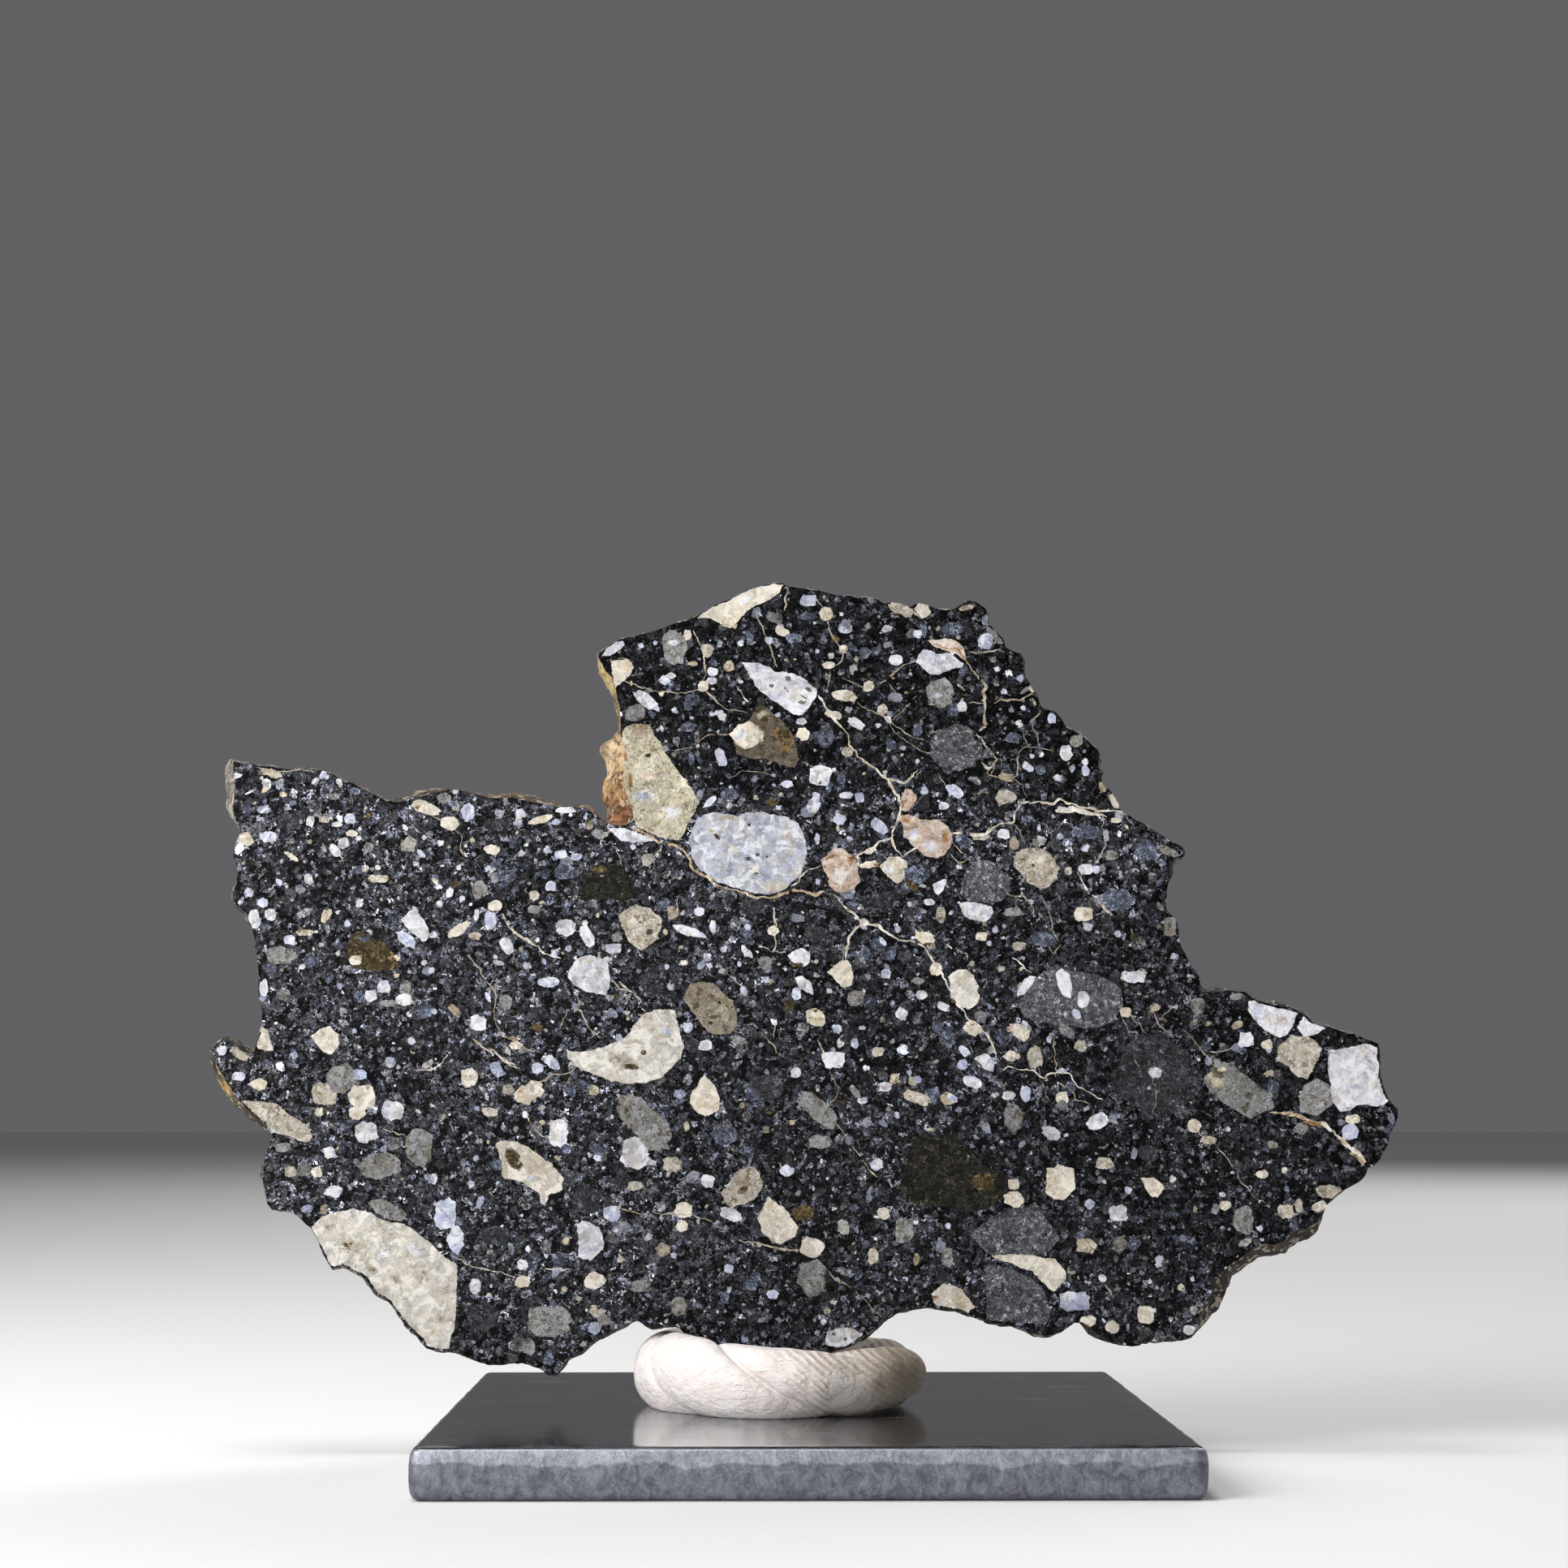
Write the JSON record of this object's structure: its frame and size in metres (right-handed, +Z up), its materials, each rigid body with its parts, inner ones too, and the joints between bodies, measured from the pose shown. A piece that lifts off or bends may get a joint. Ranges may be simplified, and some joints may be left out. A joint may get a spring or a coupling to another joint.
{
  "type": "lunar meteorite slice on a display stand",
  "caption": "Thin sawn slice of dark lunar breccia with a ragged edge, standing upright in a twisted ring of white putty on a small square metal plate.",
  "frame": {"origin": "centre of the plate's underside", "axes": "+Z up, +X to the right along the slice's sawn face as the viewer sees it, +Y away from the viewer, across the slice's thickness"},
  "size_m": [0.0853, 0.05, 0.0624],
  "materials": {
    "breccia": "sawn and polished faces, rough broken rim",
    "putty": "matte, kneaded by hand",
    "plate_metal": "satin top, mottled sheared edges"
  },
  "bodies": {
    "root": {"meteorite_slice": "breccia", "putty_ring": "putty", "base_plate": "plate_metal"}
  },
  "joints": []
}
